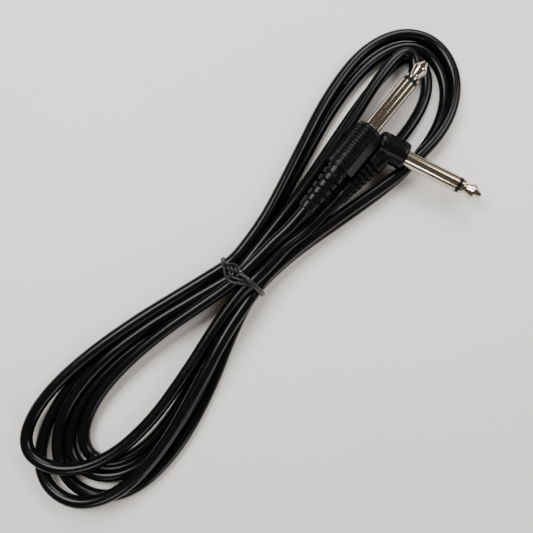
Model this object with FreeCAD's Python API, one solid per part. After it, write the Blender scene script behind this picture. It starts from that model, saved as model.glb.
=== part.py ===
import FreeCAD
import Part
import os
from math import asin, cos, pi, sin, tan

"""Instrument cable, tied up as a looped hank: a guitar-style lead with a straight and a right-angle
moulded 6.35 mm plug. Millimetres, +Z up, lying on Z = 0.

The long axis of the hank is X and its tie is near the middle. The origin is the centre of the whole
cable's footprint. The free cable is plain solids: two flat loops, the bundle inside the tie, and a
tube from each plug to the bundle. The plugs and the tie are built as they come apart on a bench."""

V = FreeCAD.Vector

# Cable and hank
CABLE_D = 4.6
CABLE_R = CABLE_D / 2
TIE_X = -7.1                    # the tie, from the origin
TIE_Y = 5.99
WIRE_R = 0.65                   # the tie's coated wire
WIRE_CORE_R = 0.28
BUNDLE_W = 19.2                 # the ten strands inside the tie
BUNDLE_H = 13.4

# Loops of the hank, seen from above: how far each reaches from the tie, how wide it is on either side
# of its middle line, and how far that line has swung sideways at the end of the loop.
LONG_LOOP = {"side": -1, "hug": 1.0, "outer": (108.0, 31.0, 39.5, -1.0), "inner": (83.0, 14.5, 11.5, -4.0)}
SHORT_LOOP = {"side": 1, "hug": 2.0, "outer": (122.2, 36.0, 39.0, 10.0), "inner": (111.0, 8.0, 30.0, 10.0)}
LONG_LOOP_H = 6.6
SHORT_LOOP_H = 4.6
RIM_H = 7.2                     # two strands on each other round the short loop's rim
RIM_FROM = 86.0
OPEN_FROM = 24.0
LOOP_POINTS = 24

# 6.35 mm two-pole plug pin, measured back from its point
SHAFT_R = 3.175
SHANK_R = 2.95                  # the sleeve's stretch inside the moulding
POINT_R = 0.95
BALL_R = 2.95
NECK_R = 2.0
COLLAR_R = 3.0
RING_R = 3.0                    # the insulating ring, a little below the sleeve
TIP_OUTLINE = [(0.0, POINT_R), (3.3, BALL_R), (3.9, BALL_R), (6.3, NECK_R), (6.8, NECK_R), (7.7, COLLAR_R)]
TIP_L = 8.7
RING_L = 1.6
TUBE_R = 2.25                   # insulating tube between rod and sleeve
ROD_R = 1.2
FLANGE_R = 3.7
FLANGE_L = 1.0
WASHER_L = 0.9
LUG_T = 0.4
RIVET_R = 1.75
RIVET_L = 0.6

# Cable end inside a moulding
CORE_R = 1.25                   # insulated centre conductor
STRANDS_R = 0.45
PIGTAIL_R = 0.5
PIGTAIL_OFF = CORE_R + PIGTAIL_R + 0.15

# Straight plug: pin length outside the moulding, moulding from its face back to the cable's exit
STRAIGHT_PIN_L = 31.9
STRAIGHT_FACE = (72.3, 4.1, 16.8)     # from the tie
STRAIGHT_TURN = 5.0                   # degrees from X, seen from above
STRAIGHT_RISE = 4.4                   # degrees that the point is lifted
STRAIGHT_ROLL = 60.0
GRIP_R = 5.1
GRIP_L = 19.4
RIB_PITCH = 1.28
RIB_COUNT = 9
RIB_DEPTH = 0.45
PANEL_W = 5.8                   # a flat smooth panel down either side of the grip
PANEL_OFF = 5.4
PANEL_R = 5.9
GROOVE_L = 0.8                  # between grip and relief
GROOVE_R = 4.1
RELIEF_L = 18.5
RELIEF_R = 4.4
MOUTH_R = 3.15
SLOTS = 5
STRAIGHT_L = GRIP_L + GROOVE_L + RELIEF_L

# Right-angle plug
ANGLE_PIN_L = 32.0
ANGLE_FACE = (75.9, -12.4, 9.9)
ANGLE_TURN = -71.8
ANGLE_RISE = -3.3
HEAD_L = 12.6
HEAD_R = 5.4
HEAD_SHIFT = 0.2                # the head's middle stands off the pin's, away from the cable
NOSE_R = 3.9
HEAD_ROUND = 1.5                # radius of the head's front edge
TAIL_ROUND = 2.0
HEAD_RIBS = 4
PATCH_TILT = -23.0              # the dotted patch on the head's shoulder
PATCH_ROWS = 4
PATCH_COLUMNS = 6
DOT_PITCH = 1.0
LEAN = 17.2                     # degrees by which the cable leaves short of square
ELBOW = 8.2                     # where the cable's line meets the pin's, from the face
NECK_L = 9.4
ELBOW_R = 4.6
BOOT_L = 17.2
BOOT_R = 4.2
BOOT_MOUTH_R = 3.0
BOOT_DROP = 4.2                # degrees down from the head to the cable's exit
DISC_PITCH = 2.3
DISC_COUNT = 6
DISC_GAP = 0.9
WINDOW_AT = 4.4                 # the ribbed window on the neck, from the elbow
WINDOW_L = 3.3
WINDOW_W = 3.0

# Free stretches of cable from the mouth of each moulding to the bundle, from the tie
MOUTH_RUN = 8.5                 # straight out of a moulding before the first bend
STRAIGHT_LEAD = [(17.3, 0.6, 11.4)]
ANGLE_LEAD = [(29.0, -5.3, 8.4), (19.5, -4.3, 10.4)]
BUNDLE_FACE = 10.0
STRAIGHT_ENTRY = (BUNDLE_FACE, 0.6, 11.4)
ANGLE_ENTRY = (BUNDLE_FACE, -4.3, 10.4)

parts = {}


def turned(outline):
    """A solid turned about X from (x, radius) points that run along its outside."""
    points = [V(outline[0][0], 0, 0)] + [V(x, r, 0) for x, r in outline] + [V(outline[-1][0], 0, 0)]
    return Part.Face(Part.makePolygon(points + points[:1])).revolve(V(0, 0, 0), V(1, 0, 0), 360)


def rod(x0, x1, r):
    return Part.makeCylinder(r, x1 - x0, V(x0, 0, 0), V(1, 0, 0))


def ring(x0, x1, r_in, r_out):
    return rod(x0, x1, r_out).cut(rod(x0 - 1, x1 + 1, r_in))


def bar(x, y, z):
    """A box from three (low, high) pairs."""
    return Part.makeBox(x[1] - x[0], y[1] - y[0], z[1] - z[0], V(x[0], y[0], z[0]))


def bead(x0, x1, r):
    return turned([(x0, r - 0.25), (x0 + 0.25, r), (x1 - 0.25, r), (x1, r - 0.25)])


def upright(shape, x, z):
    """Stand a piece built along X upright at x, its start at height z."""
    out = shape.copy()
    out.rotate(V(0, 0, 0), V(0, 1, 0), -90)
    out.translate(V(x, 0, z))
    return out


def without(shape, others):
    for other in others:
        shape = shape.cut(other)
    return shape


def one_solid(shape):
    return max(shape.Solids, key=lambda s: s.Volume)


def moulded_round(block, inner):
    """A first shot of plastic that fills the block round the pieces inside it."""
    return one_solid(block.cut(inner[0].multiFuse(inner[1:])))


def placed(shape, face, turn, rise, roll=0.0):
    """Put a plug that points along X, with its face at the origin, where it lies in the hank."""
    out = shape.copy()
    out.rotate(V(0, 0, 0), V(1, 0, 0), roll)
    out.rotate(V(0, 0, 0), V(0, 1, 0), -rise)
    out.rotate(V(0, 0, 0), V(0, 0, 1), turn)
    out.translate(V(*face) + V(TIE_X, TIE_Y, 0))
    return out


def plug_point(point, face, turn, rise, roll=0.0):
    """Where a point of a plug comes to lie, from the tie."""
    spot = placed(Part.Vertex(V(*point)), face, turn, rise, roll).Point
    return (spot.x - TIE_X, spot.y - TIE_Y, spot.z)


def pin_pieces(pin_l, depth):
    """The metal and insulating pieces of a plug pin that goes depth behind the moulding's face."""
    ring_front = pin_l - TIP_L
    ring_back = ring_front - RING_L
    flange = -depth
    washer = flange - FLANGE_L
    lug = washer - WASHER_L
    rivet = lug - LUG_T
    seat = pin_l - 6.4
    head = turned([(ring_front, COLLAR_R)] + [(pin_l - v, r) for v, r in reversed(TIP_OUTLINE)])
    head = head.cut(rod(ring_front - 1, seat, ROD_R))
    centre_rod = rod(rivet, seat, ROD_R).fuse(rod(rivet - RIVET_L, rivet, RIVET_R)).removeSplitter()
    sleeve = ring(0.0, ring_back, TUBE_R, SHAFT_R).fuse(ring(flange, 0.0, TUBE_R, SHANK_R))
    sleeve = sleeve.fuse(ring(washer, flange, TUBE_R, FLANGE_R))
    return {
        "tip": head,
        "centre_rod": centre_rod,
        "tip_insulator": ring(ring_back, ring_front, ROD_R, RING_R),
        "insulating_tube": ring(washer, ring_back, ROD_R, TUBE_R),
        "sleeve": sleeve.removeSplitter(),
        "rear_washer": ring(lug, washer, ROD_R, FLANGE_R - 0.2),
    }, lug


def lug_pieces(lug, tail_end, strap_end, cable_x):
    """The tip terminal behind the washer and the sleeve's strap that runs back to clasp the cable."""
    tip_lug = ring(lug - LUG_T, lug, ROD_R, 2.7)
    tail = bar((tail_end, lug - LUG_T), (-1.0, 1.0), (RIVET_R + 0.15, RIVET_R + 0.15 + LUG_T))
    foot = bar((lug - LUG_T, lug), (-1.0, 1.0), (2.3, RIVET_R + 0.15 + LUG_T + 0.4))
    tip_lug = tip_lug.fuse(tail).fuse(foot).removeSplitter()
    strap = bar((strap_end, lug + WASHER_L), (-1.1, 1.1), (-FLANGE_R - LUG_T, -FLANGE_R))
    clasp = ring(cable_x - 3.0, cable_x - 0.6, CABLE_R, CABLE_R + LUG_T)
    clasp = clasp.cut(bar((cable_x - 9, cable_x + 9), (-1.2, 1.2), (0, 9)))
    riser = bar((cable_x - 3.0, cable_x - 0.6), (-1.1, 1.1), (-FLANGE_R - LUG_T, -CABLE_R - 0.2))
    strap = strap.fuse(clasp).fuse(riser.cut(rod(cable_x - 9, cable_x, CABLE_R))).removeSplitter()
    return tip_lug, strap


def wire_pieces(cable_x, tail_end, lug_z):
    """The stripped cable end: core, its bare strands, the shield's pigtail and two solder joints."""
    bare = cable_x + 2.0
    core = rod(cable_x, bare, CORE_R)
    strands = rod(bare, tail_end + 2.6, STRANDS_R)
    strands = strands.fuse(upright(rod(0.0, lug_z, STRANDS_R), tail_end + 1.7, 0.0)).removeSplitter()
    pigtail = rod(cable_x, cable_x + 2.1, PIGTAIL_R).translated(V(0, 0, -PIGTAIL_OFF))
    drop = FLANGE_R - PIGTAIL_OFF
    pigtail = pigtail.fuse(upright(rod(0.0, drop, PIGTAIL_R), cable_x + 1.1, -FLANGE_R)).removeSplitter()
    return core, strands, pigtail


def tapered_boot(x_thick, x_thin, r_thick, r_thin):
    """A ribbed strain relief: a taper with staggered slots that let it bend, and a plain end ring."""
    boot = turned([(x_thin, r_thin - 0.3), (x_thin + 0.3, r_thin), (x_thick, r_thick)])
    pitch = (x_thick - x_thin - 2.6) / SLOTS
    for i in range(SLOTS):
        x = x_thin + 2.6 + pitch * i
        for sign in (-1, 1):
            low, high = (CABLE_R + 0.35, 9) if sign > 0 else (-9, -CABLE_R - 0.35)
            boot = boot.cut(bar((x, x + 1.1), (-9, 9), (low, high)))
            boot = boot.cut(bar((x + pitch / 2, x + pitch / 2 + 1.1), (low, high), (-9, 9)))
    return boot


def rib(x, length, r):
    """Outline of one raised ring with eased edges, and the groove behind it, from x forwards."""
    ease = 0.12
    gap = 0.4
    return [(x, r - RIB_DEPTH), (x + gap, r - RIB_DEPTH), (x + gap, r - ease), (x + gap + ease, r),
            (x + length - ease, r), (x + length, r - ease)]


def straight_grip():
    """The ringed grip: a smooth collar, fine rings, two wide rings, and a flat panel on either side."""
    outline = [(-GRIP_L - GROOVE_L, GROOVE_R), (-GRIP_L, GROOVE_R)]
    x = -GRIP_L
    ribs = [2.2, RIB_PITCH, 1.9] + [RIB_PITCH] * RIB_COUNT
    for length in ribs:
        outline += rib(x, length, GRIP_R)
        x += length
    outline += [(x, GRIP_R - RIB_DEPTH), (x + 0.3, GRIP_R - RIB_DEPTH), (x + 0.3, GRIP_R - 0.1)]
    outline += [(x + 0.4, GRIP_R), (-1.0, GRIP_R)]
    outline += [(-0.4, GRIP_R - 0.3), (-0.1, GRIP_R - 0.8), (0.0, GRIP_R - 1.3)]
    grip = turned(outline)
    envelope = turned([(-GRIP_L, PANEL_R - 0.8), (-GRIP_L + 0.8, PANEL_R),
                       (-2.2, PANEL_R), (-1.0, GRIP_R - 0.2)])
    for side in (0, 180):
        panel = bar((-GRIP_L, -1.0), (-PANEL_W / 2, PANEL_W / 2), (3.0, PANEL_OFF)).common(envelope)
        panel.rotate(V(0, 0, 0), V(1, 0, 0), side)
        grip = grip.fuse(panel)
    return grip.removeSplitter()


def straight_plug():
    pieces, lug = pin_pieces(STRAIGHT_PIN_L, 4.2)
    tail_end = lug - 5.2
    cable_x = tail_end - 2.6
    lug_z = RIVET_R + 0.15
    tip_lug, strap = lug_pieces(lug, tail_end, cable_x - 3.0, cable_x)
    core, strands, pigtail = wire_pieces(cable_x, tail_end, lug_z)
    cable_end = rod(-STRAIGHT_L, cable_x, CABLE_R)
    tip_joint = upright(bead(lug_z - 0.7, lug_z, 0.95), tail_end + 1.7, 0.0).cut(strands)
    shield_joint = upright(bead(0.0, 0.7, 0.95), cable_x + 1.1, -FLANGE_R).cut(pigtail)
    inner = [tip_lug, strap, core, strands, pigtail, tip_joint, shield_joint, cable_end]
    inner += list(pieces.values())
    premould_block = turned([(-22.6, 3.0), (-20.8, 3.5), (-17.6, 3.5),
                             (-17.2, 4.3), (-2.2, 4.3), (-1.6, 4.0)])

    relief = tapered_boot(-GRIP_L - GROOVE_L, -STRAIGHT_L, RELIEF_R, MOUTH_R)
    relief.rotate(V(0, 0, 0), V(1, 0, 0), -STRAIGHT_ROLL)
    body = straight_grip().fuse(relief).removeSplitter()
    body = without(body, [premould_block, rod(-9, 1, SHANK_R), rod(-STRAIGHT_L - 1, -20, CABLE_R)])
    premould = moulded_round(premould_block, inner)
    pieces.update({
        "tip_terminal": tip_lug, "sleeve_terminal": strap, "core": core, "core_strands": strands,
        "shield_pigtail": pigtail, "solder": Part.makeCompound([tip_joint, shield_joint]),
        "inner_mould": premould, "body": one_solid(body), "cable_end": cable_end,
    })
    for name, shape in pieces.items():
        parts["straight_" + name] = placed(
            shape, STRAIGHT_FACE, STRAIGHT_TURN, STRAIGHT_RISE, STRAIGHT_ROLL)
    return [plug_point((x, 0, 0), STRAIGHT_FACE, STRAIGHT_TURN, STRAIGHT_RISE, STRAIGHT_ROLL)
            for x in (-STRAIGHT_L, -STRAIGHT_L - MOUTH_RUN)]


def elbowed(shape):
    """Swing a piece built along X behind the elbow onto the line of the cable."""
    out = shape.copy()
    out.rotate(V(0, 0, 0), V(0, 1, 0), -BOOT_DROP)
    out.rotate(V(0, 0, 0), V(0, 0, 1), 90 - LEAN)
    out.translate(V(-ELBOW, 0, 0))
    return out


def quarter(x, r, radius, sign):
    """Points of a rounded edge that turns from radius r at x inwards, forwards (1) or backwards (-1)."""
    spots = []
    for step in range(5):
        angle = pi / 2 * step / 4
        spots.append((x + sign * radius * sin(angle), r - radius * (1 - cos(angle))))
    return spots


def angle_head():
    """The drum round the pin's root: rounded ends, fine rings near the face, a dotted patch on top."""
    back = quarter(-HEAD_L + TAIL_ROUND, HEAD_R, TAIL_ROUND, -1)
    outline = list(reversed(back))
    x = -HEAD_ROUND - 0.3 - RIB_PITCH * 0.85 * HEAD_RIBS
    for _ in range(HEAD_RIBS):
        outline += [(x, HEAD_R), (x + 0.08, HEAD_R - 0.35), (x + 0.4, HEAD_R - 0.35), (x + 0.48, HEAD_R)]
        x += RIB_PITCH * 0.85
    outline += quarter(-HEAD_ROUND, HEAD_R, HEAD_ROUND, 1)
    outline += [(0.0, NOSE_R)]
    head = turned(outline)
    patch_l = PATCH_COLUMNS * DOT_PITCH + 0.5
    patch_w = PATCH_ROWS * DOT_PITCH + 0.5
    middle = -6.1
    patch = bar((middle - patch_l / 2, middle + patch_l / 2),
                (-patch_w / 2, patch_w / 2), (3.0, HEAD_R - 0.02))
    head = head.fuse(patch)
    for i in range(PATCH_COLUMNS):
        for j in range(PATCH_ROWS):
            dot = Part.makeCone(0.34, 0.22, 1.3, V(0, 0, 0), V(0, 0, 1))
            along = middle + (i - (PATCH_COLUMNS - 1) / 2) * DOT_PITCH
            across = (j - (PATCH_ROWS - 1) / 2) * DOT_PITCH
            head = head.fuse(dot.translated(V(along, across, HEAD_R - 1.0)))
    head.rotate(V(0, 0, 0), V(1, 0, 0), PATCH_TILT)
    return head.translated(V(0, HEAD_SHIFT, 0))


def angle_boot():
    """Neck with a ribbed window on top, then discs on two webs round the cable, and an end ring."""
    end = -NECK_L - BOOT_L
    ring_l = 2.6
    core_r = CABLE_R + 0.4
    boot = turned([(end, BOOT_MOUTH_R - 0.25), (end + 0.25, BOOT_MOUTH_R),
                   (end + ring_l, BOOT_MOUTH_R + 0.15), (end + ring_l, core_r), (-NECK_L, core_r),
                   (-NECK_L, ELBOW_R - 0.4), (-NECK_L + 0.4, ELBOW_R), (0.0, ELBOW_R)])
    ease = 0.15
    for i in range(DISC_COUNT):
        front = -NECK_L - DISC_GAP - DISC_PITCH * i
        rear = front - DISC_PITCH + DISC_GAP
        r = BOOT_R - (BOOT_R - BOOT_MOUTH_R - 0.2) * i / (DISC_COUNT - 1)
        disc = turned([(rear, r - ease), (rear + ease, r), (front - ease, r), (front, r - ease)])
        boot = boot.fuse(disc)
    web = bar((end + 1.0, -NECK_L + 0.5), (-9, 9), (-1.2, 1.2))
    cone = turned([(end + 1.0, BOOT_MOUTH_R - 0.2), (-NECK_L + 0.5, BOOT_R - 0.3)])
    boot = boot.fuse(web.common(cone))
    low, high = -WINDOW_AT - WINDOW_L / 2, -WINDOW_AT + WINDOW_L / 2
    boot = boot.cut(bar((low, high), (-WINDOW_W / 2, WINDOW_W / 2), (ELBOW_R - 0.65, 9)))
    pitch = WINDOW_L / 4
    skin = rod(low - 1, high + 1, ELBOW_R + 0.05)
    for i in range(4):
        x = low + pitch * (i + 0.25)
        boot = boot.fuse(bar((x, x + pitch / 2), (-WINDOW_W / 2, WINDOW_W / 2), (3.6, 9)).common(skin))
    return boot.removeSplitter()


def angle_plug():
    pieces, lug = pin_pieces(ANGLE_PIN_L, 2.6)
    boot_back = -NECK_L - BOOT_L
    cable_x = -5.4
    tail_y = -2.6
    tip_lug = ring(lug - LUG_T, lug, ROD_R, -tail_y)
    tail = bar((-9.6, lug - LUG_T), (tail_y, tail_y + LUG_T), (-0.9, 0.9))
    tip_lug = tip_lug.fuse(tail).removeSplitter()

    jacket = elbowed(rod(boot_back, cable_x, CABLE_R))
    core = elbowed(rod(cable_x, cable_x + 1.6, CORE_R))
    clasp = elbowed(ring(cable_x - 2.4, cable_x - 0.6, CABLE_R, CABLE_R + LUG_T))
    clasp = clasp.cut(elbowed(bar((cable_x - 9, cable_x + 9), (-1.2, 1.2), (0, 9))))
    strap = bar((-8.2, lug + WASHER_L), (-FLANGE_R - LUG_T, -FLANGE_R), (-1.1, 1.1))
    strap = strap.fuse(bar((-8.2, -7.5), (-6.9, -FLANGE_R), (-1.1, 1.1)))
    sleeve_lug = without(strap.fuse(clasp), [jacket, core]).removeSplitter()
    strands = elbowed(rod(cable_x + 1.6, -2.5, STRANDS_R)).cut(tip_lug)
    pigtail = Part.makeCylinder(PIGTAIL_R, 1.5, V(cable_x, -PIGTAIL_OFF, 0), V(1, 0, 0))
    pigtail = elbowed(pigtail).cut(sleeve_lug)
    tip_joint = one_solid(without(elbowed(bead(-3.6, -2.7, 0.85)), [tip_lug, strands]))
    shield_joint = bead(cable_x + 0.5, cable_x + 1.2, 0.85).translated(V(0, -PIGTAIL_OFF, 0))
    shield_joint = one_solid(without(elbowed(shield_joint), [pigtail, sleeve_lug, core]))
    inner = [tip_lug, sleeve_lug, core, strands, pigtail, tip_joint, shield_joint, jacket]
    inner += list(pieces.values())
    block = turned([(-11.7, 2.4), (-10.4, 4.3), (-9.6, 4.9), (-2.0, 4.9), (-1.4, 4.4)])
    block = block.fuse(elbowed(rod(cable_x - 3.0, -1.0, 3.6))).removeSplitter()
    premould = moulded_round(block, inner)

    body = angle_head().fuse(elbowed(angle_boot())).removeSplitter()
    body = without(body, [block, rod(-9, 1, SHANK_R), jacket, sleeve_lug])
    pieces.update({
        "tip_terminal": tip_lug, "sleeve_terminal": sleeve_lug, "core": core, "core_strands": strands,
        "shield_pigtail": pigtail, "solder": Part.makeCompound([tip_joint, shield_joint]),
        "inner_mould": premould, "body": one_solid(body), "cable_end": jacket,
    })
    for name, shape in pieces.items():
        parts["angle_" + name] = placed(shape, ANGLE_FACE, ANGLE_TURN, ANGLE_RISE)
    return [plug_point(tuple(elbowed(Part.Vertex(V(x, 0, 0))).Point), ANGLE_FACE, ANGLE_TURN, ANGLE_RISE)
            for x in (boot_back, boot_back - MOUTH_RUN)]


def lead(name, points):
    """A tube along straight runs joined by tangent arcs, from the tie's own place."""
    spots = [V(*p) + V(TIE_X, TIE_Y, 0) for p in points]
    edges = []
    start = spots[0]
    radii = []
    for before, corner, after in zip(spots, spots[1:], spots[2:]):
        back = (before - corner)
        on = (after - corner)
        half_turn = (pi - back.getAngle(on)) / 2
        reach = 0.45 * min(back.Length, on.Length)
        radius = reach / tan(half_turn)
        radii.append(round(radius / CABLE_D, 1))
        first = corner + back.normalize() * reach
        last = corner + on.normalize() * reach
        inward = (back + on).normalize()
        middle = corner + inward * (radius / cos(half_turn) - radius)
        edges += [Part.makeLine(start, first), Part.Arc(first, middle, last).toShape()]
        start = last
    edges.append(Part.makeLine(start, spots[-1]))
    path = Part.Wire(edges)
    section = Part.Wire(Part.makeCircle(CABLE_R, spots[0], spots[1] - spots[0]))
    tube = path.makePipeShell([section], True, True)
    ideal = pi * CABLE_R ** 2 * path.Length
    print(name, "length", round(path.Length, 1), "radii in diameters", radii,
          "volume over ideal", round(tube.Volume / ideal, 4))
    return tube


def loop_sheet(loop, size, near, height):
    """Everything inside one rounded teardrop outline of a loop, from near out to its end."""
    reach, wide_up, wide_down, swing = size
    first = 2 * asin((near / reach) ** 0.5)
    points = []
    for i in range(LOOP_POINTS + 1):
        angle = first + (2 * pi - 2 * first) * i / LOOP_POINTS
        x = reach * sin(angle / 2) ** 2
        width = wide_up if angle < pi else wide_down
        y = width * sin(angle) * sin(angle / 2) ** loop["hug"] + swing * x / reach
        points.append(V(loop["side"] * x + TIE_X, y + TIE_Y, 0))
    curve = Part.BSplineCurve()
    curve.interpolate(points)
    outline = Part.Wire([curve.toShape(), Part.makeLine(points[-1], points[0])])
    return Part.Face(outline).extrude(V(0, 0, height))


def hank():
    """The cable's outer shape where it is tied up: two flat loops and the bundle between them."""
    long_loop = loop_sheet(LONG_LOOP, LONG_LOOP["outer"], BUNDLE_FACE, LONG_LOOP_H)
    opening = loop_sheet(LONG_LOOP, LONG_LOOP["inner"], OPEN_FROM, LONG_LOOP_H)
    parts["cable_long_loop"] = long_loop.cut(opening)
    short_loop = loop_sheet(SHORT_LOOP, SHORT_LOOP["outer"], BUNDLE_FACE, RIM_H)
    short_loop = short_loop.cut(loop_sheet(SHORT_LOOP, SHORT_LOOP["inner"], OPEN_FROM, RIM_H))
    above = bar((TIE_X, TIE_X + RIM_FROM), (-90, 90), (SHORT_LOOP_H, RIM_H + 1))
    parts["cable_short_loop"] = short_loop.cut(above)
    under = 2 * WIRE_R + 0.05
    bundle = bar((TIE_X - BUNDLE_FACE, TIE_X + BUNDLE_FACE), (TIE_Y - BUNDLE_W / 2, TIE_Y + BUNDLE_W / 2),
                 (under, under + BUNDLE_H - 1.0))
    along = [e for e in bundle.Edges if abs(e.tangentAt(e.FirstParameter).x) > 0.9]
    parts["cable_bundle"] = bundle.makeFillet(4.0, along)


def tie_turn(x, r, half_w, low, high):
    """One turn of wire round the bundle: straight runs and quarter bends in the plane at x."""
    bend = 4.0 + WIRE_R
    turn = None
    for y_sign, z_sign, z in ((1, -1, low), (1, 1, high), (-1, 1, high), (-1, -1, low)):
        centre = V(x, y_sign * (half_w - bend), z - z_sign * bend)
        side = V(x, y_sign * half_w, centre.z)
        disc = Part.Face(Part.Wire(Part.makeCircle(r, side, V(0, 0, 1))))
        piece = disc.revolve(centre, V(1, 0, 0), 90 * y_sign * z_sign)
        turn = piece if turn is None else turn.fuse(piece)
    span = 2 * (half_w - bend)
    rise = high - low - 2 * bend
    for z in (low, high):
        turn = turn.fuse(Part.makeCylinder(r, span, V(x, -span / 2, z), V(0, 1, 0)))
    for y in (-half_w, half_w):
        turn = turn.fuse(Part.makeCylinder(r, rise, V(x, y, low + bend), V(0, 0, 1)))
    return turn.removeSplitter()


def twist_tie():
    """The doubled wire round the bundle and its two ends folded over on top: steel inside plastic."""
    half_w = BUNDLE_W / 2 + WIRE_R + 0.02
    low = WIRE_R
    high = 3 * WIRE_R + BUNDLE_H - 0.88
    coat = None
    steel = []
    for sign in (-1, 1):
        x = sign * (WIRE_R - 0.02)
        tail_z = high + 2 * WIRE_R - 0.06
        turn_of = [tie_turn(x, r, half_w, low, high) for r in (WIRE_R, WIRE_CORE_R)]
        tail = Part.makeCylinder(WIRE_R, 8.5, V(x, 0.5, tail_z), V(0, 1, 0))
        tail_steel = Part.makeCylinder(WIRE_CORE_R, 8.1, V(x, 0.7, tail_z), V(0, 1, 0))
        steel += [turn_of[1], tail_steel]
        both = turn_of[0].fuse(tail)
        coat = both if coat is None else coat.fuse(both)
    coat = without(coat, steel)
    for name, shape in (("tie_coating", coat), ("tie_steel", Part.makeCompound(steel))):
        shape.translate(V(TIE_X, TIE_Y, 0))
        parts[name] = shape


straight_mouth = straight_plug()
angle_mouth = angle_plug()
hank()
twist_tie()
parts["straight_lead"] = lead("straight_lead", straight_mouth + STRAIGHT_LEAD + [STRAIGHT_ENTRY])
parts["angle_lead"] = lead("angle_lead", angle_mouth + ANGLE_LEAD + [ANGLE_ENTRY])
os.makedirs("parts", exist_ok=True)
for name, shape in parts.items():
    shape.exportStep("parts/" + name + ".step")
whole = Part.makeCompound(list(parts.values())).optimalBoundingBox()
print("footprint centre", round(whole.Center.x, 2), round(whole.Center.y, 2), "lowest", round(whole.ZMin, 3))
print("size", [round(v, 1) for v in (whole.XLength, whole.YLength, whole.ZLength)])
for mouth in (straight_mouth, angle_mouth):
    print("mouth and first bend, from the tie", [[round(v, 2) for v in spot] for spot in mouth])
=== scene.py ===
from math import cos, copysign, pi, radians, sin

import bpy
import numpy as np
from mathutils import Matrix, Vector


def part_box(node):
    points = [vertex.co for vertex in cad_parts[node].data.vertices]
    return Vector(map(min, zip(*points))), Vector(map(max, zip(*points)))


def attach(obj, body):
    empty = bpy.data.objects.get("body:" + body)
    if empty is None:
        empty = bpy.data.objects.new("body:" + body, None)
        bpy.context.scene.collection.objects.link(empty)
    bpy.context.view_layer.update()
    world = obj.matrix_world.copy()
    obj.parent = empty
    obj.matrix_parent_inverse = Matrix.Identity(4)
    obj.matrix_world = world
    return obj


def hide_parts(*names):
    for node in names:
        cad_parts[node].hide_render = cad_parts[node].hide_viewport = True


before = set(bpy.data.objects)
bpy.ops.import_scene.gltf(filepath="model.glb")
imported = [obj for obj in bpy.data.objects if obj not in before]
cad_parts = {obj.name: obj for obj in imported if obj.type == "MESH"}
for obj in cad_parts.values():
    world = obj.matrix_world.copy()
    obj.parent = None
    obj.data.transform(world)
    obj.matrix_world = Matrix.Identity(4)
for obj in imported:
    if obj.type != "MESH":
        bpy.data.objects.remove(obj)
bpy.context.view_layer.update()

# Instrument cable tied in a hank. Metres; +X along the hank, +Z up, lying on Z = 0.
MM = 0.001
CABLE_D = 4.6 * MM
CABLE_R = CABLE_D / 2
WIRE_R = 0.56 * MM
STEEL_R = 0.26 * MM
STEEL_SHOWS = 0.35 * MM
TIE_LOW, TIE_HIGH = (Vector(corner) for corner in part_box("tie_coating"))
TIE = Vector(((TIE_LOW.x + TIE_HIGH.x) / 2, (TIE_LOW.y + TIE_HIGH.y) / 2, 0.0))

# Camera: above the hank, which runs up to the right across the picture
VIEW_ANGLE = radians(50.0)
VIEW_DISTANCE = 224 * MM
VIEW_TILT = radians(6.0)
HANK_ANGLE = radians(45.4)
VIEW_AIM = Vector((9.6, -3.1, 0.0)) * MM          # from the tie

# The cable's free ends, from the tie: out of the straight plug's moulding to the bundle, and back out
# of the bundle to the right-angle plug's moulding
STRAIGHT_LEAD = [(33.86, 0.74, 13.83), (25.42, 0.0, 13.18), (17.3, 0.6, 12.4), (11.0, 0.5, 12.2)]
ANGLE_LEAD = [(11.0, -4.3, 11.7), (19.5, -4.5, 10.1), (29.0, -5.3, 8.4), (38.3, -5.11, 8.4),
              (46.79, -4.99, 8.88)]

# Where each of the ten strands passes through the tie: sideways and height
STRANDS = {"left_up": (7.2, 8.0), "left_low": (7.0, 3.6),
           "mid_left_up": (2.3, 7.9), "mid_left_low": (2.3, 3.6),
           "top_in": (0.6, 12.2), "top_out": (-4.2, 12.2),
           "mid_right_up": (-2.4, 7.9), "mid_right_low": (-2.4, 3.6),
           "right_up": (-7.2, 8.0), "right_low": (-7.0, 3.6)}

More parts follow.
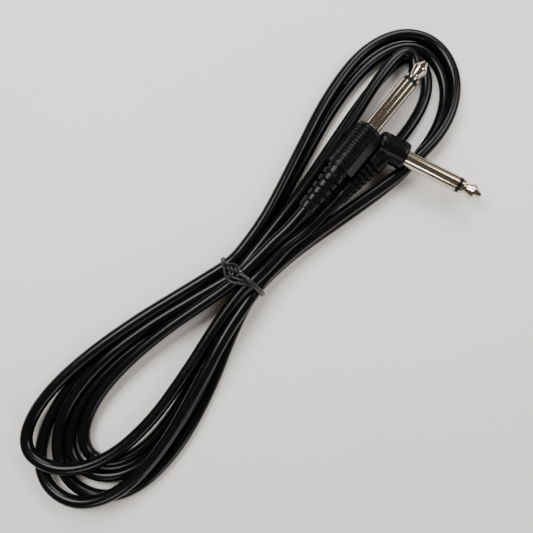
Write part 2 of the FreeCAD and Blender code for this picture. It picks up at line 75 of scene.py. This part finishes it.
# The tie's wire, from the tie: twice round the bundle, with a long bight laid back over the top. The
# points on top were traced by eye from the photo and turned into millimetres by a script (report.md).
TIE_WIRE = [(-0.9, 3.5, 14.9), (-0.2, 0.4, 16.2), (0.0, -3.0, 16.2), (0.0, -5.9, 15.2), (0.1, -8.7, 11.2),
            (0.2, -10.2, 8.0), (0.2, -10.1, 3.6), (0.1, -8.7, 1.0), (0.0, -5.0, 0.65), (-0.2, 0.0, 0.65),
            (-0.4, 5.0, 0.65), (-0.6, 8.7, 1.0), (-0.9, 10.1, 3.6), (-1.1, 10.2, 8.0), (-1.2, 8.9, 10.5),
            (-1.3, 7.0, 12.0), (0.7, 5.2, 13.2), (1.1, 2.9, 14.6), (0.4, 0.8, 15.3), (0.5, -1.3, 15.4),
            (0.7, -4.2, 16.2), (0.9, -7.3, 13.4), (0.9, -9.8, 9.5), (1.0, -10.3, 6.0), (1.0, -10.0, 3.4),
            (0.9, -8.6, 1.0), (0.8, -5.0, 0.65), (0.7, 0.0, 0.65), (0.5, 5.0, 0.65), (0.3, 8.6, 1.0),
            (0.1, 10.2, 3.6), (-0.4, 10.6, 8.0), (-1.9, 8.7, 10.8), (-2.8, 6.4, 12.3), (-4.2, 4.8, 13.3),
            (-5.0, 2.4, 14.7), (-4.4, 0.3, 15.3), (-2.6, -1.9, 15.3), (-1.0, -4.5, 15.1), (0.2, -5.6, 14.7),
            (0.5, -4.4, 15.1), (-0.7, -2.8, 15.3), (-1.9, -0.5, 15.3), (-2.9, 1.4, 15.0), (-3.1, 3.3, 14.1),
            (-2.0, 4.6, 13.7), (-0.7, 4.4, 14.6)]
TWIST_ENDS = ((-1.9, 5.6, 13.5), (0.5, 1.1, 16.3))    # the two ends twisted round each other
TWIST_TURNS = 1.6
TWIST_POINTS = 14
TWIST_GAP = 1.02               # the twisted ends' distance from their middle line, in wire radii

# The turns in the order in which the cable runs: side of the tie (-1 is the long loop), reach, then
# (width, how closely it hugs the middle line by the tie) on the way out and on the way back, sideways
# lean and bulge at the far end, how tightly the end is folded, strands in and out, and its heights.
LOW = 2.3
TURNS = [
    (-1, 88.0, (18.7, 1.5), (21.0, 1.35), -6.0, 0.0, 1.0, "top_in", "mid_right_low",
     (7.0, 4.0, LOW, LOW, LOW, LOW, LOW)),
    (1, 114.3, (21.5, 1.7), (9.0, 2.0), 13.0, 5.0, 0.9, "mid_right_low", "mid_left_low", (LOW,) * 7),
    (-1, 94.0, (22.0, 1.45), (28.5, 1.35), -5.0, 0.0, 1.0, "mid_left_low", "mid_right_up",
     (LOW, LOW, LOW, LOW, LOW, 4.0, 5.0)),
    (1, 110.3, (6.5, 2.0), (2.5, 2.0), 15.0, 10.0, 1.1, "mid_right_up", "mid_left_up",
     (6.0, LOW, LOW, 6.5, 8.5, 7.0, 6.6)),
    (-1, 100.3, (29.0, 1.15), (31.5, 1.45), -8.5, 0.0, 1.0, "mid_left_up", "right_low",
     (6.0, 4.0, LOW, LOW, LOW, LOW, LOW)),
    (1, 117.8, (34.6, 1.72), (27.5, 2.0), 10.0, 0.0, 1.0, "right_low", "left_low", (LOW,) * 7),
    (-1, 106.4, (27.5, 1.1), (31.5, 1.5), -4.0, 0.0, 1.0, "left_low", "right_up",
     (LOW, LOW, LOW, LOW, 6.9, 6.0, 6.0)),
    (1, 121.5, (37.0, 2.0), (34.5, 2.0), 10.6, 0.0, 1.0, "right_up", "left_up",
     (6.9, 6.9, 6.5, 5.5, 5.5, 5.5, 6.0)),
    (-1, 102.2, (20.0, 1.0), (29.5, 1.6), 9.0, 0.0, 1.0, "left_up", "top_out",
     (6.5, 6.0, 6.5, 6.9, 6.9, 5.0, 8.0)),
]
TURN_POINTS = 14
BULGE_HUG = 10                 # how closely a bulge keeps to the loop's far end
STRAND_HUG = 5                 # how soon a strand leaves its place in the tie
SAMPLES = 5                    # of the cable's line, between two control points

# How the turns are let down: a geometric rule, not a simulation of the cable's stiffness
SETTLE_STEPS = 160
SETTLE_PUSH = 0.8              # share of an overlap that is undone in a step
SETTLE_PUSH_AXES = (0.5, 0.5, 1.0)
HELD_STAY = 0.85               # how much less the held points give way
HELD_RETURN = 0.3              # how fast they go back to their place
SETTLE_HOME = 0.05             # pull back to the route, seen from above
SETTLE_DROP = 0.12             # mm that a free point comes down in the first step
SETTLE_EVEN = 0.3              # evening out of heights along the cable
SETTLE_LIFT = 1.5              # how strongly what is under the surface is lifted

# Many soft lights from several sides, as in a bright room
SOFT_WHITE = (1.0, 0.985, 0.965)
LOW_WHITE = (1.0, 0.99, 0.97)
WARM_WHITE = (1.0, 0.9, 0.75)
ROOM_GLOW = (0.14, 0.117, 0.088)
FLOOR_HALF = 2.0


# ---------------------------------------------------------------- helpers
def smooth_step(f):
    return f * f * (3 - 2 * f)


def link(name, data):
    obj = bpy.data.objects.new(name, data)
    bpy.context.collection.objects.link(obj)
    return obj


def spline_curve(name, routes, radius, resolution=10, bevel=8):
    """Round wires or cables, each a smooth NURBS line that its route's points pull into shape."""
    curve = bpy.data.curves.new(name, "CURVE")
    curve.dimensions = "3D"
    curve.bevel_depth = radius
    curve.bevel_resolution = bevel
    curve.use_fill_caps = True
    for points in routes:
        spline = curve.splines.new("NURBS")
        spline.points.add(len(points) - 1)
        for spot, point in zip(spline.points, points):
            spot.co = (*point, 1.0)
        spline.order_u = 3
        spline.use_endpoint_u = True
        spline.resolution_u = resolution
    return link(name, curve)


def from_tie(point):
    """A place given in millimetres from the tie, in the scene's metres."""
    return Vector(point) * MM + TIE


class Shader:
    """A short way to build a procedural material."""

    def __init__(self, name, color, roughness, **values):
        self.mat = bpy.data.materials.new(name)
        self.mat.use_nodes = True
        self.tree = self.mat.node_tree
        self.bsdf = self.tree.nodes["Principled BSDF"]
        self.bsdf.inputs["Base Color"].default_value = (*color, 1.0)
        self.bsdf.inputs["Roughness"].default_value = roughness
        for key, value in values.items():
            self.bsdf.inputs[key.replace("_", " ")].default_value = value
        self.mat.diffuse_color = (*color, 1.0)
        self.place = self.tree.nodes.new("ShaderNodeTexCoord").outputs["Object"]

    def node(self, kind, **inputs):
        made = self.tree.nodes.new("ShaderNode" + kind)
        for key, value in inputs.items():
            key = key.replace("_", " ")
            if isinstance(value, bpy.types.NodeSocket):
                self.tree.links.new(value, made.inputs[key])
            else:
                made.inputs[key].default_value = value
        return made

    def noise(self, scale, detail=2.0, roughness=0.5):
        made = self.node("TexNoise", Vector=self.place, Scale=scale, Detail=detail, Roughness=roughness)
        return made.outputs["Fac"]

    def spread(self, fac, low, high, from_low=0.3, from_high=0.7):
        made = self.node("MapRange", Value=fac)
        made.inputs["From Min"].default_value = from_low
        made.inputs["From Max"].default_value = from_high
        made.inputs["To Min"].default_value = low
        made.inputs["To Max"].default_value = high
        return made.outputs["Result"]

    def blend(self, fac, first, second):
        made = self.tree.nodes.new("ShaderNodeMix")
        made.data_type = "RGBA"
        self.tree.links.new(fac, made.inputs["Factor"])
        made.inputs["A"].default_value = (*first, 1.0)
        made.inputs["B"].default_value = (*second, 1.0)
        return made.outputs["Result"]

    def bump(self, height, strength, distance):
        made = self.node("Bump", Height=height, Strength=strength, Distance=distance)
        self.tree.links.new(made.outputs["Normal"], self.bsdf.inputs["Normal"])

    def drive(self, name, socket):
        self.tree.links.new(socket, self.bsdf.inputs[name])


def wear(obj, mat):
    obj.data.materials.clear()
    obj.data.materials.append(mat)


# ---------------------------------------------------------------- materials
def jacket_plastic():
    s = Shader("cable_pvc", (0.004, 0.004, 0.0045), 0.2, Specular_IOR_Level=0.2)
    patches = s.spread(s.noise(60.0, 4.0), 0.0, 1.0)
    s.drive("Base Color", s.blend(patches, (0.0018, 0.0018, 0.0022), (0.0036, 0.0036, 0.0042)))
    s.drive("Roughness", s.spread(s.noise(900.0, 4.0), 0.15, 0.22))
    s.bump(s.noise(2600.0, 3.0), 0.25, 0.00005)
    return s.mat


def moulded_plastic():
    s = Shader("moulded_pvc", (0.004, 0.004, 0.0045), 0.3, Specular_IOR_Level=0.17)
    patches = s.spread(s.noise(90.0, 4.0), 0.0, 1.0)
    s.drive("Base Color", s.blend(patches, (0.0018, 0.0018, 0.0022), (0.004, 0.004, 0.0046)))
    s.drive("Roughness", s.spread(s.noise(1200.0, 5.0), 0.2, 0.34))
    s.bump(s.noise(3200.0, 4.0), 0.4, 0.00006)
    return s.mat


def nickel():
    s = Shader("nickel_plate", (0.54, 0.5, 0.43), 0.09, Metallic=1.0)
    s.drive("Roughness", s.spread(s.noise(1500.0, 5.0), 0.06, 0.12))
    patches = s.spread(s.noise(240.0, 4.0), 0.0, 1.0)
    s.drive("Base Color", s.blend(patches, (0.56, 0.52, 0.45), (0.49, 0.45, 0.38)))
    s.bump(s.noise(4200.0, 4.0), 0.06, 0.00003)
    return s.mat


def plain(name, color, roughness, **values):
    s = Shader(name, color, roughness, **values)
    s.drive("Roughness", s.spread(s.noise(1400.0, 4.0), roughness * 0.85, min(1.0, roughness * 1.2)))
    s.bump(s.noise(2500.0, 3.0), 0.12, 0.00004)
    return s.mat


def dress_plugs():
    """Materials of the CAD nodes that stay."""
    mats = {"pvc": moulded_plastic(), "nickel": nickel(), "jacket": jacket_plastic(),
            "ring": plain("black_insulator", (0.004, 0.004, 0.004), 0.3, Specular_IOR_Level=0.2),
            "natural": plain("natural_plastic", (0.62, 0.60, 0.55), 0.4),
            "fibre": plain("red_fibre", (0.28, 0.11, 0.07), 0.7),
            "steel": plain("turned_steel", (0.56, 0.55, 0.53), 0.3, Metallic=1.0),
            "copper": plain("copper", (0.72, 0.36, 0.2), 0.35, Metallic=1.0),
            "solder": plain("solder", (0.5, 0.5, 0.5), 0.45, Metallic=1.0),
            "mould": plain("inner_mould", (0.03, 0.03, 0.03), 0.6),
            "tie_coat": plain("tie_coat", (0.008, 0.008, 0.009), 0.32, Specular_IOR_Level=0.35),
            "tie_steel": plain("tie_wire", (0.4, 0.4, 0.4), 0.4, Metallic=1.0)}
    of = {"tip": "nickel", "sleeve": "nickel", "centre_rod": "steel", "tip_insulator": "ring",
          "insulating_tube": "natural", "rear_washer": "fibre",
          "tip_terminal": "steel", "sleeve_terminal": "steel", "solder": "solder",
          "core": "natural", "core_strands": "copper", "shield_pigtail": "copper",
          "inner_mould": "mould", "body": "pvc", "cable_end": "jacket"}
    for plug in ("straight", "angle"):
        for piece, mat in of.items():
            wear(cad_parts[plug + "_" + piece], mats[mat])
    return mats


# ---------------------------------------------------------------- cable
def turn_points(side, reach, out, back, lean, bulge, fold, strand_in, strand_out, heights):
    """One turn: out of the tie, round the end of a loop and back into the tie, from the tie."""
    heights = [STRANDS[strand_in][1], *heights, STRANDS[strand_out][1]]
    points = []
    for i in range(TURN_POINTS + 1):
        t = 2 * i / TURN_POINTS - 1
        angle = pi * (1 + copysign(abs(t) ** fold, t))
        far = sin(angle / 2)
        x = reach * far ** 2
        width, hug = out if t < 0 else back
        y = -side * sin(angle) * (width * far ** hug + bulge * far ** BULGE_HUG) + lean * x / reach
        y += STRANDS[strand_in if t < 0 else strand_out][0] * (1 - x / reach) ** STRAND_HUG
        k = i / TURN_POINTS * (len(heights) - 1)
        j = min(int(k), len(heights) - 2)
        f = smooth_step(k - j)
        points.append((side * x, y, heights[j] * (1 - f) + heights[j + 1] * f))
    return points


def cable_route():
    """The cable's control points from plug to plug, in mm from the tie, and which are in the tie."""
    points = list(STRAIGHT_LEAD)
    in_tie = []
    for turn in TURNS:
        in_tie.append(len(points))
        loop = turn_points(*turn)
        points += loop[:-1]
    in_tie.append(len(points))
    points.append(loop[-1])
    return np.array(points + ANGLE_LEAD), in_tie


def spline_weights(count):
    """How much each control point counts at each sample of a clamped quadratic spline."""
    rows = []
    for i in range(1, count - 1):
        last = i == count - 2
        for k in range(SAMPLES + last):
            t = k / SAMPLES
            row = np.zeros(count)
            row[i - 1] += (1 - t) ** 2 * (1.0 if i == 1 else 0.5)
            row[i] += 2 * t * (1 - t) + (0.0 if i == 1 else (1 - t) ** 2 / 2) + (0.0 if last else t * t / 2)
            row[i + 1] += t * t * (1.0 if last else 0.5)
            rows.append(row)
    return np.array(rows)


def settle(points, in_tie):
    """Let the turns down on the surface and on each other; touching strands still press in a little."""
    diameter = CABLE_D / MM
    weights = spline_weights(len(points))
    load = weights.sum(0)
    held = np.zeros(len(points))
    held[in_tie] = 1.0
    held[:3] = 1.0
    held[-3:] = 1.0
    free = 1 - held
    home = points.copy()
    run = weights @ points
    along = np.r_[0, np.cumsum(np.linalg.norm(np.diff(run, axis=0), axis=1))]
    apart = np.abs(along[:, None] - along[None]) > 3 * diameter
    for step in range(SETTLE_STEPS):
        run = weights @ points
        gap = run[:, None] - run[None]
        distance = np.linalg.norm(gap, axis=2)
        touching = (distance < diameter) & apart
        push = np.where(touching, (diameter - distance) / np.maximum(distance, 1e-6), 0)[:, :, None]
        push = (push * gap * np.array(SETTLE_PUSH_AXES)).sum(1) / np.maximum(touching.sum(1), 1)[:, None]
        give = (1 - HELD_STAY * held)[:, None]
        points = points + SETTLE_PUSH * (weights.T @ push) / load[:, None] * give
        points[:, :2] += SETTLE_HOME * (home - points)[:, :2]
        points[:, 2] -= SETTLE_DROP * free * (1 - step / SETTLE_STEPS)
        points += HELD_RETURN * (home - points) * held[:, None]
        sag = points[:-2, 2] / 4 + points[1:-1, 2] / 2 + points[2:, 2] / 4 - points[1:-1, 2]
        points[1:-1, 2] += SETTLE_EVEN * sag * free[1:-1]
        sunk = np.maximum(diameter / 2 - (weights @ points)[:, 2], 0)
        points[:, 2] += SETTLE_LIFT * (weights.T @ sunk) / load
    return points


def cable(mats):
    points, in_tie = cable_route()
    points = settle(points, in_tie)
    run = spline_weights(len(points)) @ points
    length = np.linalg.norm(np.diff(run, axis=0), axis=1).sum() * MM
    print("cable length", round(float(length), 3))
    piece = spline_curve("cable", [[from_tie(p) for p in points]], CABLE_R)
    wear(piece, mats["jacket"])
    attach(piece, "root")
    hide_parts("cable_long_loop", "cable_short_loop", "cable_bundle", "straight_lead", "angle_lead")


# ---------------------------------------------------------------- twist tie
def twisted_ends():
    """Two wires wound round each other between the twist's two ends."""
    start, end = (Vector(p) for p in TWIST_ENDS)
    along = (end - start).normalized()
    side = along.orthogonal().normalized()
    routes = []
    for phase in (0.0, pi):
        points = []
        for i in range(TWIST_POINTS + 1):
            f = i / TWIST_POINTS
            angle = phase + 2 * pi * TWIST_TURNS * f
            out = Matrix.Rotation(angle, 3, along) @ side
            points.append(start.lerp(end, f) + out * WIRE_R / MM * TWIST_GAP)
        routes.append(points)
    return routes


def twist_tie(mats):
    routes = [[from_tie(p) for p in route] for route in [TIE_WIRE, *twisted_ends()]]
    coat = spline_curve("tie_wire", routes, WIRE_R, resolution=8, bevel=5)
    wear(coat, mats["tie_coat"])
    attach(coat, "root")
    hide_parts("tie_coating")
    steel_routes = []
    for route in routes[1:]:
        tip = route[-1] + (route[-1] - route[-2]).normalized() * STEEL_SHOWS
        steel_routes.append([*route, tip])
    steel = spline_curve("tie_core_wire", [routes[0], *steel_routes], STEEL_R, resolution=6, bevel=3)
    wear(steel, mats["tie_steel"])
    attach(steel, "root")
    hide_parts("tie_steel")


# ---------------------------------------------------------------- surroundings
def axes_of_view():
    right = Vector((cos(HANK_ANGLE), -sin(HANK_ANGLE), 0.0))
    up = Vector((sin(HANK_ANGLE), cos(HANK_ANGLE), 0.0))
    return right, up


def camera():
    right, up = axes_of_view()
    aim = TIE + VIEW_AIM
    spot = aim - up * VIEW_DISTANCE * sin(VIEW_TILT) + Vector((0, 0, VIEW_DISTANCE * cos(VIEW_TILT)))
    back = (spot - aim).normalized()
    turned = Matrix((right, back.cross(right), back)).transposed()
    data = bpy.data.cameras.new("camera")
    data.angle = VIEW_ANGLE
    data.clip_start = 0.01
    obj = link("camera", data)
    obj.matrix_world = Matrix.Translation(spot) @ turned.to_4x4()
    bpy.context.scene.camera = obj


def floor():
    s = Shader("pale_floor", (0.855, 0.832, 0.808), 0.5, Specular_IOR_Level=0.4)
    patches = s.spread(s.noise(9.0, 3.0), 0.0, 1.0)
    s.drive("Base Color", s.blend(patches, (0.845, 0.822, 0.798), (0.865, 0.842, 0.818)))
    s.bump(s.noise(500.0, 3.0), 0.05, 0.0002)
    mesh = bpy.data.meshes.new("floor")
    half = FLOOR_HALF
    corners = [(-half, -half, 0), (half, -half, 0), (half, half, 0), (-half, half, 0)]
    mesh.from_pydata(corners, [], [(0, 1, 2, 3)])
    obj = link("floor", mesh)
    wear(obj, s.mat)


def area_light(name, right, up, height, size, power, color):
    """A soft light aimed at the origin. Its place is to the right, up the picture and above it."""
    across, along = axes_of_view()
    spot = across * right + along * up + Vector((0, 0, height))
    data = bpy.data.lights.new(name, "AREA")
    data.shape = "RECTANGLE"
    data.size, data.size_y = size
    data.energy = power
    data.color = color
    obj = link(name, data)
    obj.matrix_world = Matrix.Translation(spot) @ spot.to_track_quat("Z", "Y").to_matrix().to_4x4()


def lights():
    area_light("key", -0.26, 0.2, 0.54, (0.3, 0.3), 3.9, SOFT_WHITE)
    area_light("right", 0.49, 0.16, 0.47, (0.32, 0.32), 2.2, SOFT_WHITE)
    area_light("top", 0.08, 0.5, 0.42, (0.34, 0.3), 2.9, SOFT_WHITE)
    area_light("low", 0.48, -0.84, 0.28, (0.4, 0.35), 2.2, LOW_WHITE)
    area_light("strip", -0.2, -0.74, 0.64, (0.3, 0.3), 1.8, LOW_WHITE)
    area_light("ceiling", 0.52, 0.46, 0.6, (0.6, 0.6), 0.5, WARM_WHITE)
    world = bpy.data.worlds.new("studio")
    world.use_nodes = True
    glow = world.node_tree.nodes["Background"]
    glow.inputs["Color"].default_value = (*ROOM_GLOW, 1.0)
    glow.inputs["Strength"].default_value = 1.0
    bpy.context.scene.world = world


materials = dress_plugs()
cable(materials)
twist_tie(materials)
camera()
floor()
lights()
